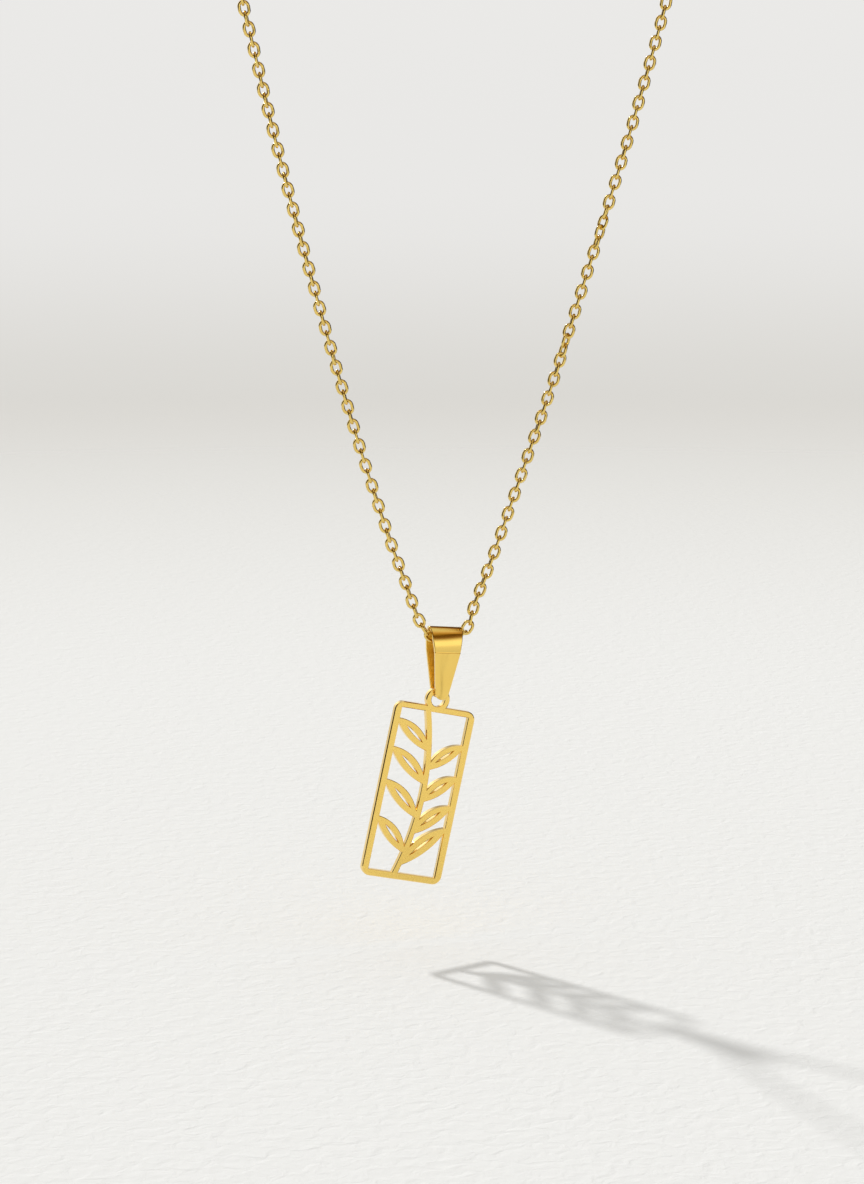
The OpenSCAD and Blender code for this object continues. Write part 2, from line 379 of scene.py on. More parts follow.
def link_tree():
    """Geometry nodes that put a link of round wire on each point, each a quarter turn on."""
    tree = bpy.data.node_groups.new("Chain of links", "GeometryNodeTree")
    sockets = tree.interface
    sockets.new_socket("Places", in_out="INPUT", socket_type="NodeSocketGeometry")
    for name in ("Length", "Width", "Wire", "Looseness"):
        sockets.new_socket(name, in_out="INPUT", socket_type="NodeSocketFloat")
    sockets.new_socket("Seed", in_out="INPUT", socket_type="NodeSocketInt")
    sockets.new_socket("Metal", in_out="INPUT", socket_type="NodeSocketMaterial")
    sockets.new_socket("Links", in_out="OUTPUT", socket_type="NodeSocketGeometry")
    given = add_node(tree, "NodeGroupInput").outputs

    # An oval ring of wire: between an ellipse and two half circles moved apart
    sides = 16
    wire_sides = 6
    round_width = add_node(tree, "ShaderNodeMath", SUBTRACT, {0: given["Width"], 1: given["Wire"]})
    round_radius = add_node(tree, "ShaderNodeMath", MULTIPLY, {0: round_width, 1: 0.5})
    ring = add_node(
        tree, "GeometryNodeCurvePrimitiveCircle", {}, {"Resolution": sides, "Radius": round_radius}
    )
    point = add_node(
        tree, "ShaderNodeSeparateXYZ", {}, {0: add_node(tree, "GeometryNodeInputPosition")}
    )
    straight = add_node(tree, "ShaderNodeMath", SUBTRACT, {0: given["Length"], 1: given["Width"]})
    reach = add_node(tree, "ShaderNodeMath", MULTIPLY, {0: straight, 1: 0.5})
    ahead = add_node(
        tree, "ShaderNodeMath", {"operation": "DIVIDE"}, {0: point.outputs["X"], 1: round_radius}
    )
    end = add_node(tree, "ShaderNodeMath", {"operation": "SIGN"}, {0: ahead})
    twice_eased = add_node(tree, "ShaderNodeMath", ADD, {0: end, 1: ahead})
    eased = add_node(tree, "ShaderNodeMath", MULTIPLY, {0: twice_eased, 1: 0.5})
    shift = add_node(tree, "ShaderNodeMath", MULTIPLY, {0: eased, 1: reach})
    offset = add_node(tree, "ShaderNodeCombineXYZ", {}, {"X": shift})
    oval = add_node(
        tree, "GeometryNodeSetPosition", {}, {"Geometry": ring, "Offset": offset}
    )
    wire_radius = add_node(tree, "ShaderNodeMath", MULTIPLY, {0: given["Wire"], 1: 0.5})
    section = add_node(
        tree, "GeometryNodeCurvePrimitiveCircle", {},
        {"Resolution": wire_sides, "Radius": wire_radius},
    )
    wire = add_node(
        tree, "GeometryNodeCurveToMesh", {}, {"Curve": oval, "Profile Curve": section}
    )
    link = add_node(tree, "GeometryNodeSetShadeSmooth", {}, {"Geometry": wire})

    # Each link lies along the route and is turned about it
    direction, facing, twist = [
        add_node(tree, "GeometryNodeInputNamedAttribute", {"data_type": kind}, {"Name": name})
        for name, kind in LINK_ATTRIBUTES.items()
    ]
    aimed = add_node(
        tree, "FunctionNodeAlignRotationToVector", {"axis": "X"}, {"Vector": direction}
    )
    faced = add_node(
        tree, "FunctionNodeAlignRotationToVector", {"axis": "Z", "pivot_axis": "X"},
        {"Rotation": aimed, "Vector": facing},
    )
    lowest = add_node(tree, "ShaderNodeMath", MULTIPLY, {0: given["Looseness"], 1: -1.0})
    slack = add_node(
        tree, "FunctionNodeRandomValue", {"data_type": "FLOAT"},
        {"Min": lowest, "Max": given["Looseness"], "Seed": given["Seed"]},
    )
    index = add_node(tree, "GeometryNodeInputIndex")
    quarters = add_node(tree, "ShaderNodeMath", MULTIPLY, {0: index, 1: math.pi / 2})
    twisted = add_node(tree, "ShaderNodeMath", ADD, {0: quarters, 1: twist})
    angle = add_node(tree, "ShaderNodeMath", ADD, {0: twisted, 1: slack.outputs["Value"]})
    about = add_node(
        tree, "FunctionNodeAxisAngleToRotation", {}, {"Axis": (1, 0, 0), "Angle": angle}
    )
    turned = add_node(
        tree, "FunctionNodeRotateRotation", {"rotation_space": "LOCAL"},
        {"Rotation": faced, "Rotate By": about},
    )
    places = add_node(tree, "GeometryNodeMeshToPoints", {}, {"Mesh": given["Places"]})
    links = add_node(
        tree, "GeometryNodeInstanceOnPoints", {},
        {"Points": places, "Instance": link, "Rotation": turned},
    )
    real = add_node(tree, "GeometryNodeRealizeInstances", {}, {"Geometry": links})
    dressed = add_node(
        tree, "GeometryNodeSetMaterial", {}, {"Geometry": real, "Material": given["Metal"]}
    )
    add_node(tree, "NodeGroupOutput", {}, {"Links": dressed})
    return tree


def grow(places, tree, values, name, metal):
    """Runs geometry nodes over a mesh and returns what they make as a plain object."""
    helper = bpy.data.objects.new("helper", places)
    bpy.context.scene.collection.objects.link(helper)
    modifier = helper.modifiers.new("nodes", "NODES")
    modifier.node_group = tree
    for item in tree.interface.items_tree:
        if item.in_out == "INPUT" and item.name in values:
            modifier[item.identifier] = values[item.name]
    graph = bpy.context.evaluated_depsgraph_get()
    mesh = bpy.data.meshes.new_from_object(helper.evaluated_get(graph), depsgraph=graph)
    bpy.data.objects.remove(helper)
    mesh.name = name
    for attribute in [a for a in mesh.attributes if a.name in LINK_ATTRIBUTES]:
        mesh.attributes.remove(attribute)
    # The nodes leave an empty material slot before the metal's
    mesh.materials.clear()
    mesh.polygons.foreach_set("material_index", [0] * len(mesh.polygons))
    return new_object(name, mesh, metal)


def outline_loops(mesh, front):
    """The loops of points, as X and Z, round a solid's flat side that lies at Y = front.

    Each loop has the metal on the left, seen from the front.
    """
    solid = bmesh.new()
    solid.from_mesh(mesh)
    bmesh.ops.remove_doubles(solid, verts=solid.verts, dist=SAME_POINT)
    on_front = {v for v in solid.verts if abs(v.co.y - front) < 10 * SAME_POINT}
    # A dict keeps the faces in the solid's order, so that each run lists the points alike
    flat = dict.fromkeys(f for f in solid.faces if all(v in on_front for v in f.verts))
    follows = {}
    for face in flat:
        for loop in face.loops:
            if not any(f in flat for f in loop.edge.link_faces if f is not face):
                follows[loop.vert] = loop.link_loop_next.vert
    outlines = []
    while follows:
        start, after = follows.popitem()
        ring = [start]
        while after is not start:
            ring.append(after)
            after = follows.pop(after)
        outlines.append([v.co.xz for v in ring])
    solid.free()
    return outlines


def rimmed_plate(name, node, outer_edge, inner_edge):
    """A flat plate's CAD solid with its sharp rims broken, more round its outside than inside.

    Faces get material 0, rims and walls material 1.
    """
    low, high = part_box(node)
    outlines = outline_loops(frame["nodes"][node].data, low.y)
    points, faces, metals = [], [], []
    fronts, backs, flat_outlines = [], [], []
    longest_mitre = 1.5
    tiny = 1e-6
    for places in outlines:
        count = len(places)
        after_each = places[1:] + places[:1]
        # The outside runs the one way round and the cut-outs the other
        turning = sum(a.cross(b) for a, b in zip(places, after_each))
        edge = outer_edge if turning > 0 else inner_edge
        insets = []
        for i, here in enumerate(places):
            before = (here - places[i - 1]).normalized()
            after = (after_each[i] - here).normalized()
            normals = [Vector((-d.y, d.x)) for d in (before, after)]
            middle = normals[0] + normals[1]
            if middle.length < tiny:
                middle = before - after
            middle.normalize()
            insets.append(middle * min(longest_mitre, 1 / max(middle.dot(normals[0]), tiny)))
        flat = [p + m * edge for p, m in zip(places, insets)]
        rows = []
        for y, outline in (
            (low.y, flat), (low.y + edge, places), (high.y - edge, places), (high.y, flat)
        ):
            rows.append(range(len(points), len(points) + count))
            points += [Vector((p.x, y, p.y)) for p in outline]
        for row, following in zip(rows, rows[1:]):
            for i in range(count):
                j = (i + 1) % count
                faces.append((row[j], row[i], following[i], following[j]))
                metals.append(1)
        fronts += rows[0]
        backs += rows[-1]
        flat_outlines.append([p.to_3d() for p in flat])
    for corners in tessellate_polygon(flat_outlines):
        x, y, z = [points[fronts[c]].xz for c in corners]
        if (y - x).cross(z - x) < 0:
            corners = corners[::-1]
        faces.append([fronts[c] for c in corners])
        faces.append([backs[c] for c in reversed(corners)])
        metals += [0, 0]
    return mesh_from(name, points, faces, metals)


def fold_profile(bail):
    """The folded strip's outer side as points and normals of Y and Z, from front tip to back tip.

    All in mm from the fold's middle. A tight fold over the top runs into a slightly bowed part
    that ends at the crease, and from there a flat leaf goes to the tip.
    """
    steps = 6
    fold_steps = 24
    tip_steps = 14
    rounds = 40
    radius = bail.fold_radius
    crease = Vector((bail.crease_depth / 2, radius - bail.crease_drop))
    tip = Vector((bail.tip_depth / 2, radius - bail.height))

    def out(angle):
        return Vector((math.cos(angle), math.sin(angle)))

    # The bow leaves the fold where the chord's normal is midway between its end normals
    low = math.radians(bail.bow_end)
    high = low
    for _ in range(rounds):
        chord = out(high) * radius - crease
        high = 2 * math.atan2(-chord.x, chord.y) - low
    bow_radius = (out(high) * radius - crease).length / (2 * math.sin((high - low) / 2))
    bow_centre = crease - out(low) * bow_radius
    # The press left a fine ledge along the crease, which looks up
    ledge_angle = math.radians(bail.ledge_slope)
    ledge_rise = Vector((-math.sin(ledge_angle), math.cos(ledge_angle))) * bail.ledge
    ledge_foot = crease - ledge_rise
    run = (tip - ledge_foot).normalized()
    leaf_normal = Vector((-run.y, run.x))
    leaf_angle = math.atan2(leaf_normal.y, leaf_normal.x)
    profile = []
    for k in range(tip_steps + 1):
        share = 1 - math.cos(k / tip_steps * math.pi / 2)
        profile.append((tip - run * bail.tip_round_height * share, leaf_normal))
    profile.append((ledge_foot + run * bail.crease_radius, leaf_normal))
    for k in range(steps):
        angle = leaf_angle + (low - leaf_angle) * k / steps
        profile.append((ledge_foot + ledge_rise * (k / steps), out(angle)))
    profile.append((crease, out(low)))
    # The bow's first piece is short, so that the ledge's slope doesn't show in its shading
    short_piece = 0.04
    for share in [short_piece] + [k / steps for k in range(1, steps + 1)]:
        angle = low + (high - low) * share
        profile.append((bow_centre + out(angle) * bow_radius, out(angle)))
    for k in range(1, fold_steps + 1):
        angle = high + (math.pi / 2 - high) * k / fold_steps
        profile.append((out(angle) * radius, out(angle)))
    back = [(Vector((-p.x, p.y)), Vector((-n.x, n.y))) for p, n in reversed(profile[:-1])]
    return profile + back


def strip_half_width(bail, z):
    """Half of the strip's width at a height, in mm: a taper that ends in a full round."""
    slope = bail.taper / 2
    side = math.atan(slope)
    tip_r = (bail.top_width / 2 - slope * bail.height) * math.cos(side) / (1 - math.sin(side))
    tip_z = bail.fold_radius - bail.height + tip_r
    if z > tip_z - tip_r * math.sin(side):
        return bail.top_width / 2 - slope * (bail.fold_radius - z)
    return math.sqrt(max(tip_r**2 - (z - tip_z) ** 2, 0))


def bail_mesh(bail):
    """The bail: a rounded strip swept along the fold's profile, and the pin through the ring."""
    points, faces, metals = [], [], []
    corner_steps = 3
    per_section = 4 * (corner_steps + 1)
    inner_side = 3 * (corner_steps + 1) - 1
    narrowest_half = 0.06
    most_rounded = 0.9
    profile = fold_profile(bail)
    for outer, normal in profile:
        half = max(strip_half_width(bail, outer.y), narrowest_half)
        for quadrant in range(4):
            across = 1 if quadrant in (0, 3) else -1
            outwards = 1 if quadrant in (0, 1) else -1
            rounding = bail.outer_rounding if outwards > 0 else bail.inner_rounding
            corner = min(rounding, half * most_rounded)
            for k in range(corner_steps + 1):
                angle = (quadrant + k / corner_steps) * math.pi / 2
                x = across * (half - corner) + corner * math.cos(angle)
                depth = outwards * (bail.strip_thickness / 2 - corner) + corner * math.sin(angle)
                place = outer + normal * (depth - bail.strip_thickness / 2)
                # The front of the profile is towards -Y
                points.append(Vector((x, -place.x, place.y)))
    sections = len(profile)
    for s in range(sections - 1):
        for k in range(per_section):
            a, b = s * per_section + k, s * per_section + (k + 1) % per_section
            faces.append((a, b, b + per_section, a + per_section))
            metals.append(1 if k == inner_side else 0)
    faces.append([k for k in reversed(range(per_section))])
    faces.append([(sections - 1) * per_section + k for k in range(per_section)])
    pin_sides = 20
    first = len(points)
    pin_z = bail.fold_radius - bail.pin_drop
    pin_half = bail.tip_depth / 2 - bail.strip_thickness / 2
    for y in (-pin_half, pin_half):
        for k in range(pin_sides):
            angle = k / pin_sides * math.tau
            x = bail.pin_radius * math.cos(angle)
            points.append(Vector((x, y, pin_z + bail.pin_radius * math.sin(angle))))
    for k in range(pin_sides):
        j = (k + 1) % pin_sides
        faces.append((first + k, first + j, first + pin_sides + j, first + pin_sides + k))
    faces.append([first + k for k in reversed(range(pin_sides))])
    faces.append([first + pin_sides + k for k in range(pin_sides)])
    # The strip's ends and the pin are polished, as its outer side is
    metals += [0] * (len(faces) - len(metals))
    lean = Matrix.Rotation(BAIL_LEAN, 3, "Y")
    placed = [FOLD + lean @ p * MM for p in points]
    mesh = mesh_from("bail_strip", placed, faces, metals)
    shape = bmesh.new()
    shape.from_mesh(mesh)
    bmesh.ops.recalc_face_normals(shape, faces=shape.faces)
    shape.to_mesh(mesh)
    shape.free()
    mesh.set_sharp_from_angle(angle=math.radians(SMOOTH_UNDER))
    return mesh


def softened_copy(name, node, voxel, rounds):
    """A CAD solid's copy with all its edges softened, as a casting's are."""
    mesh = frame["nodes"][node].data.copy()
    solid = bmesh.new()
    solid.from_mesh(mesh)
    bmesh.ops.remove_doubles(solid, verts=solid.verts, dist=SAME_POINT)
    solid.to_mesh(mesh)
    solid.free()
    mesh.materials.clear()
    helper = bpy.data.objects.new("helper", mesh)
    bpy.context.scene.collection.objects.link(helper)
    remesh = helper.modifiers.new("skin", "REMESH")
    remesh.mode = "VOXEL"
    remesh.voxel_size = voxel
    remesh.use_smooth_shade = True
    smooth = helper.modifiers.new("soften", "SMOOTH")
    smooth.factor = 0.5
    smooth.iterations = rounds
    graph = bpy.context.evaluated_depsgraph_get()
    made = bpy.data.meshes.new_from_object(helper.evaluated_get(graph), depsgraph=graph)
    bpy.data.objects.remove(helper)
    made.name = name
    return made


# Settings


class TagSettings(bpy.types.PropertyGroup):
    """Sizes of the tag that the solids don't hold, and its colours."""

    light: colour_setting("Face", "Colour of the tag's faces", "#FFDC7A")
    deep: colour_setting("Face, deep", "Colour of the faces' deeper patches", "#FDD672")
    edge_light: colour_setting("Edge", "Colour of the cut edges", "#FCDC8E")
    edge_deep: colour_setting("Edge, deep", "Colour of the edges' deeper patches", "#F7D484")
    outer_edge: bpy.props.FloatProperty(
        name="Outer edge", description="Width by which the outside's edges are broken",
        default=0.125 * MM, min=0.01 * MM, max=0.16 * MM, unit="LENGTH", precision=5,
    )
    inner_edge: bpy.props.FloatProperty(
        name="Inner edge", description="Width by which the cut-outs' edges are broken",
        default=0.07 * MM, min=0.01 * MM, max=0.14 * MM, unit="LENGTH", precision=5,
    )


class BailSettings(bpy.types.PropertyGroup):
    """Sizes of the bail in millimetres, as in the solids, and its colours."""

    light: colour_setting("Strip", "Colour of the strip", "#FAD66C")
    deep: colour_setting("Strip, deep", "Colour of the strip's deeper patches", "#F7CE62")
    inner_light: colour_setting("Inside", "Colour of the strip's inner side", "#FFDC66")
    inner_deep: colour_setting("Inside, deep", "Colour of its deeper patches", "#D8A41E")
    height: bpy.props.FloatProperty(
        name="Height", description="From the top of the fold to the tips, in mm",
        default=10.25,
    )
    top_width: bpy.props.FloatProperty(
        name="Top width", description="Width of the strip over the fold, in mm",
        default=4.8,
    )
    taper: bpy.props.FloatProperty(
        name="Taper", description="Width that the strip loses for each mm down",
        default=0.3,
    )
    strip_thickness: bpy.props.FloatProperty(
        name="Thickness", description="Thickness of the strip, in mm",
        default=0.5,
    )
    fold_radius: bpy.props.FloatProperty(
        name="Fold radius", description="Outer radius of the fold, in mm",
        default=1.55,
    )
    crease_drop: bpy.props.FloatProperty(
        name="Crease drop", description="Crease below the top of the fold, in mm",
        default=3.4,
    )
    crease_depth: bpy.props.FloatProperty(
        name="Crease depth", description="Front to back at the crease, in mm",
        default=4.2,
    )
    crease_radius: bpy.props.FloatProperty(
        name="Crease radius", description="Rounding of the leaf at the crease, in mm",
        default=0.05,
    )
    ledge: bpy.props.FloatProperty(
        name="Ledge", description="Width of the press mark along the crease, in mm",
        default=0.08,
    )
    ledge_slope: bpy.props.FloatProperty(
        name="Ledge slope", description="Degrees above level that the press mark looks",
        default=30.0,
    )
    bow_end: bpy.props.FloatProperty(
        name="Bow end", description="Upward lean of the strip just above the crease, in degrees",
        default=4.0,
    )
    tip_depth: bpy.props.FloatProperty(
        name="Tip depth", description="Front to back at the tips, in mm",
        default=2.15,
    )
    tip_round_height: bpy.props.FloatProperty(
        name="Tip round height", description="Height of the closely built round tip, in mm",
        default=1.6,
    )
    outer_rounding: bpy.props.FloatProperty(
        name="Outer rounding", description="Rounding of the strip's outer edges, in mm",
        default=0.13,
    )
    inner_rounding: bpy.props.FloatProperty(
        name="Inner rounding", description="Rounding of the strip's inner edges, in mm",
        default=0.05,
    )
    pin_radius: bpy.props.FloatProperty(
        name="Pin radius", description="Radius of the pin between the tips, in mm",
        default=0.3,
    )
    pin_drop: bpy.props.FloatProperty(
        name="Pin drop", description="Pin below the top of the fold, in mm",
        default=9.8,
    )


class ChainSettings(bpy.types.PropertyGroup):
    """Sizes and colours of the links, and how they lie along the route."""

    light: colour_setting("Wire", "Colour of the wire", "#F1D47C")
    deep: colour_setting("Wire, deep", "Colour of the wire's deeper patches", "#E1C066")
    length: bpy.props.FloatProperty(
        name="Link length", description="Outer length of a link",
        default=2.3 * MM, unit="LENGTH", precision=5,
    )
    width: bpy.props.FloatProperty(
        name="Link width", description="Outer width of a link",
        default=1.71 * MM, unit="LENGTH", precision=5,
    )
    wire: bpy.props.FloatProperty(
        name="Wire", description="Thickness of a link's wire",
        default=0.45 * MM, unit="LENGTH", precision=5,
    )
    left_links: bpy.props.IntProperty(
        name="Left links", description="Links from the bail to the left end",
        default=172,
    )
    right_links: bpy.props.IntProperty(
        name="Right links", description="Links from the bail to the right end",
        default=170,
    )
    bail_links: bpy.props.IntProperty(
        name="Bail links", description="Links inside the bail",
        default=4,
    )
    left_start: bpy.props.FloatProperty(
        name="Left start", description="Where the left links begin, in mm from the fold's middle",
        default=2.78,
    )
    right_start: bpy.props.FloatProperty(
        name="Right start", description="Where the right links begin, in mm from the fold's middle",
        default=3.24,
    )
    neck_depth: bpy.props.FloatProperty(
        name="Neck depth", description="Neck's axis behind the fold, in mm",
        default=52.0,
    )
    chest_turn: bpy.props.FloatProperty(
        name="Chest turn", description="Way that face-on links look at the chest, in degrees",
        default=-19.0,
    )
    chest_below: bpy.props.FloatProperty(
        name="Chest below", description="Height up to which links look as at the chest, in mm",
        default=88.0,
    )
    chest_blend: bpy.props.FloatProperty(
        name="Chest blend", description="Height over which they turn outwards, in mm",
        default=27.0,
    )
    lower_kink: bpy.props.FloatProperty(
        name="Lower kink", description="First kink's place on the right, in mm",
        default=45.6,
    )
    upper_kink: bpy.props.FloatProperty(
        name="Upper kink", description="Second kink's place on the right, in mm",
        default=62.65,
    )
    lower_kink_length: bpy.props.FloatProperty(
        name="Lower kink length", description="Length over which it turns the chain, in mm",
        default=4.25,
    )
    upper_kink_length: bpy.props.FloatProperty(
        name="Upper kink length", description="Length over which it turns the chain, in mm",
        default=7.1,
    )
    looseness: bpy.props.FloatProperty(
        name="Looseness", description="Random turn of each link",
        default=math.radians(5), subtype="ANGLE",
    )
    seed: bpy.props.IntProperty(
        name="Seed", description="Seed of the random turns",
        default=4,
    )


class ClaspSettings(bpy.types.PropertyGroup):
    """How soft the clasp's edges are, and its colours."""

    light: colour_setting("Clasp", "Colour of the clasp and the end ring", "#F9D36C")
    deep: colour_setting("Clasp, deep", "Colour of their deeper patches", "#EFC457")
    voxel: bpy.props.FloatProperty(
        name="Fineness", description="Size of the clasp's mesh",
        default=0.09 * MM, unit="LENGTH", precision=5,
    )
    rounds: bpy.props.IntProperty(
        name="Softening", description="Rounds of softening of the edges",
        default=6,
    )


class StageSettings(bpy.types.PropertyGroup):
    """The camera, fitted to the photograph, and the floor and lights."""

    azimuth: bpy.props.FloatProperty(
        name="Azimuth", description="Camera's turn from the front",
        default=math.radians(-19), subtype="ANGLE",
    )
    elevation: bpy.props.FloatProperty(
        name="Elevation", description="Camera's height above level",
        default=math.radians(9), subtype="ANGLE",
    )
    distance: bpy.props.FloatProperty(
        name="Distance", description="Camera to the tag, along the view",
        default=460 * MM, unit="LENGTH",
    )
    lens: bpy.props.FloatProperty(
        name="Lens", description="Focal length in mm",
        default=100.0,
    )
    tag_pixel_x: bpy.props.FloatProperty(
        name="Tag across", description="Tag's middle in the picture, in pixels from the left",
        default=419.3,
    )
    tag_pixel_y: bpy.props.FloatProperty(
        name="Tag down", description="Tag's middle in the picture, in pixels from the top",
        default=793.07,
    )
    sun_energy: bpy.props.FloatProperty(
        name="Sun", description="Strength of the low back light",
        default=2.0,
    )
    sun_spread: bpy.props.FloatProperty(
        name="Sun spread", description="Angle that the back light fills",
        default=math.radians(3.4), subtype="ANGLE",
    )
    paper: colour_setting("Floor colour", "Colour of the floor", "#EEEEEC")


# Operators


class NECKLACE_OT_tag(bpy.types.Operator):
    """Build the pierced tag"""

    bl_idname = "necklace.tag"
    bl_label = "Tag"

    def execute(self, context):
        tag = context.scene.necklace_tag
        mesh = rimmed_plate("tag_plate", "tag", tag.outer_edge, tag.inner_edge)
        piece = new_object("tag_plate", mesh, satin_gold(tag), cut_edge_gold(tag))
        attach(piece, "tag")
        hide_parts("tag")
        return {"FINISHED"}


class NECKLACE_OT_bail(bpy.types.Operator):
    """Build the folded bail"""

    bl_idname = "necklace.bail"
    bl_label = "Bail"

    def execute(self, context):
        bail = context.scene.necklace_bail
        piece = new_object("bail_strip", bail_mesh(bail), strip_gold(bail), inner_gold(bail))
        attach(piece, "bail")
        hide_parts("bail")
        return {"FINISHED"}


class NECKLACE_OT_chain(bpy.types.Operator):
    """Build the chain of links"""

    bl_idname = "necklace.chain"
    bl_label = "Chain"

    def execute(self, context):
        chain = context.scene.necklace_chain
        metal = wire_gold(chain)
        values = {
            "Length": chain.length,
            "Width": chain.width,
            "Wire": chain.wire,
            "Looseness": chain.looseness,
            "Seed": chain.seed,
            "Metal": metal,
        }
        piece = grow(link_places(chain), link_tree(), values, "chain_links", metal)
        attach(piece, "chain")
        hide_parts("chain_left", "chain_right")
        return {"FINISHED"}


class NECKLACE_OT_clasp(bpy.types.Operator):
    """Build the clasp and give the end ring its metal"""

    bl_idname = "necklace.clasp"
    bl_label = "Clasp"

    def execute(self, context):
        clasp = context.scene.necklace_clasp
        metal = cast_gold(clasp)
        mesh = softened_copy("clasp_body", "clasp", clasp.voxel, clasp.rounds)
        piece = new_object("clasp_body", mesh, metal)
        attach(piece, "chain")
        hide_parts("clasp")
        for slot in frame["nodes"]["end_ring"].material_slots:
            slot.material = metal
        return {"FINISHED"}


def heading(azimuth, elevation):
    """The direction towards a place seen at this azimuth from the front and this elevation."""
    a, e = math.radians(azimuth), math.radians(elevation)
    return (math.sin(a) * math.cos(e), -math.cos(a) * math.cos(e), math.sin(e))


def soft_patch(tree, towards, middle, inner, outer):
    """One inside an angle round a direction, zero outside a wider one. Angles are in degrees."""
    nearness = add_node(
        tree, "ShaderNodeVectorMath", {"operation": "DOT_PRODUCT"},
        {0: towards, 1: heading(*middle)},
    )
    return add_node(
        tree, "ShaderNodeMapRange", {"interpolation_type": "SMOOTHSTEP"},
        {
            "Value": nearness.outputs["Value"],
            "From Min": math.cos(math.radians(outer)),
            "From Max": math.cos(math.radians(inner)),
        },
    ).outputs["Result"]


def set_stops(ramp, stops):
    """Gives a colour ramp its stops, which are pairs of a place and a grey or hex colour."""
    ramp.interpolation = "EASE"
    while len(ramp.elements) < len(stops):
        ramp.elements.new(1.0)
    for element, (place, _) in zip(ramp.elements, stops):
        element.position = place
    for element, (_, tone) in zip(ramp.elements, stops):
        element.color = linear(tone) if isinstance(tone, str) else (tone, tone, tone, 1.0)


# Light that the metal mirrors, by degrees above level: a bright band, a dark gap, a pale top
TENT = [
    (-90, 1.1), (-30, 1.18), (-14, 1.32), (-3, 0.74), (8, 0.84), (11, 1.0), (14, 1.2), (21, 1.2),
    (24.5, 0.92), (27.5, 0.47), (30, 0.24), (33.5, 0.12), (36.5, 0.15), (38.5, 0.37), (42, 0.55),
    (51, 0.62), (58, 0.66), (66, 0.59), (90, 0.58),
]
TENT_SCALE = 1.5
# Patches of that light: azimuth and elevation, how wide inside and outside, in degrees, and
# what they keep of it, for the dark boards, or add to it, for the bright ones
BOARDS = [
    ((-86, 6), 37, 57, 0.03), ((98, 4), 35, 60, 0.04), ((158, 24), 8, 18, 0.36),
    ((152, 40), 12, 26, 0.4),
]
WINDOWS = [((62, 74), 8, 24, 0.14)]
# The tent is brown where it is darker than the first of these greys, and plain above the second
SHADE_DARK = 0.12
SHADE_CLEAR = 0.60
SHADE_TINT = "#FFD288"
# The dark gap's own tint, by degrees above level
GAP_TINT = [
    (22, "#FFFFFF"), (30, "#FFE2B4"), (36, "#FFE488"), (46, "#FFD2A0"), (58, "#FFEED8"),
    (72, "#FFFFFF"),
]
# Even light from all round on what is matt, and the light's own colour
EVEN_LIGHT = 0.66
LIGHT_COLOUR = "#FFFEFC"
# What lies behind the floor, by degrees above level, with painted shade: darkest a little below the
# level, lighter above
BACKDROP_WITH_PAINTED_SHADE = [(-25, "#D9D6D1"), (-12, "#D2CFC8"), (-6, "#DAD8D3"), (-2, "#E9E8E6"), (10, "#F1F0EE")]


def make_surroundings():
    """A light tent for the metal to mirror, even light on the floor, and a plain backdrop with
    painted shade, darkest a little below the level.
    """
    world = bpy.data.worlds.new("Studio")
    bpy.context.scene.world = world
    world.use_nodes = True
    tree = world.node_tree
    towards = add_node(tree, "ShaderNodeTexCoord").outputs["Generated"]
    height = add_node(tree, "ShaderNodeSeparateXYZ", {}, {0: towards}).outputs["Z"]
    level = add_node(tree, "ShaderNodeMath", {"operation": "ARCSINE"}, {0: height})
    share = add_node(tree, "ShaderNodeMath", MULTIPLY_ADD, {0: level, 1: 1 / math.pi, 2: 0.5})

    def by_elevation(stops):
        node = add_node(tree, "ShaderNodeValToRGB", {}, {"Fac": share})
        set_stops(node.color_ramp, [(angle / 180 + 0.5, tone) for angle, tone in stops])
        return node

    scaled_tent = by_elevation([(angle, light / TENT_SCALE) for angle, light in TENT])
    tent = add_node(tree, "ShaderNodeMath", MULTIPLY, {0: scaled_tent, 1: TENT_SCALE})
    # The dark boards draw the metal's edges, and the bright windows light its cut walls
    for middle, inner, outer, keep in BOARDS:
        patch = soft_patch(tree, towards, middle, inner, outer)
        kept = add_node(tree, "ShaderNodeMath", MULTIPLY_ADD, {0: patch, 1: keep - 1, 2: 1.0})
        tent = add_node(tree, "ShaderNodeMath", MULTIPLY, {0: tent, 1: kept})
    for middle, inner, outer, extra in WINDOWS:
        patch = soft_patch(tree, towards, middle, inner, outer)
        tent = add_node(tree, "ShaderNodeMath", MULTIPLY_ADD, {0: patch, 1: extra, 2: tent})

    ray = add_node(tree, "ShaderNodeLightPath").outputs
    matt = add_node(
        tree, "ShaderNodeMix", {"data_type": "FLOAT"},
        {"Factor": ray["Is Diffuse Ray"], "A": tent, "B": EVEN_LIGHT},
    )
    studio = tree.nodes["Background"]
    shade = add_node(tree, "ShaderNodeValToRGB", {}, {"Fac": tent})
    set_stops(shade.color_ramp, [(SHADE_DARK, SHADE_TINT), (SHADE_CLEAR, LIGHT_COLOUR)])
    tint = add_node(
        tree, "ShaderNodeVectorMath", MULTIPLY, {0: shade, 1: by_elevation(GAP_TINT)}
    )
    colour = add_node(
        tree, "ShaderNodeMix", {"data_type": "RGBA"},
        {"Factor": ray["Is Diffuse Ray"], "A": tint, "B": linear(LIGHT_COLOUR)},
    )
    tree.links.new(colour.outputs["Result"], studio.inputs["Color"])
    tree.links.new(matt.outputs["Result"], studio.inputs["Strength"])
    # The backdrop, seen straight from the camera, holds painted shade that darkens it a little
    # below the level
    backdrop = add_node(tree, "ShaderNodeBackground", {}, {"Color": by_elevation(BACKDROP_WITH_PAINTED_SHADE)})
    both = add_node(
        tree, "ShaderNodeMixShader", {}, {0: ray["Is Camera Ray"], 1: studio, 2: backdrop}
    )
    tree.links.new(both.outputs[0], tree.nodes["World Output"].inputs["Surface"])


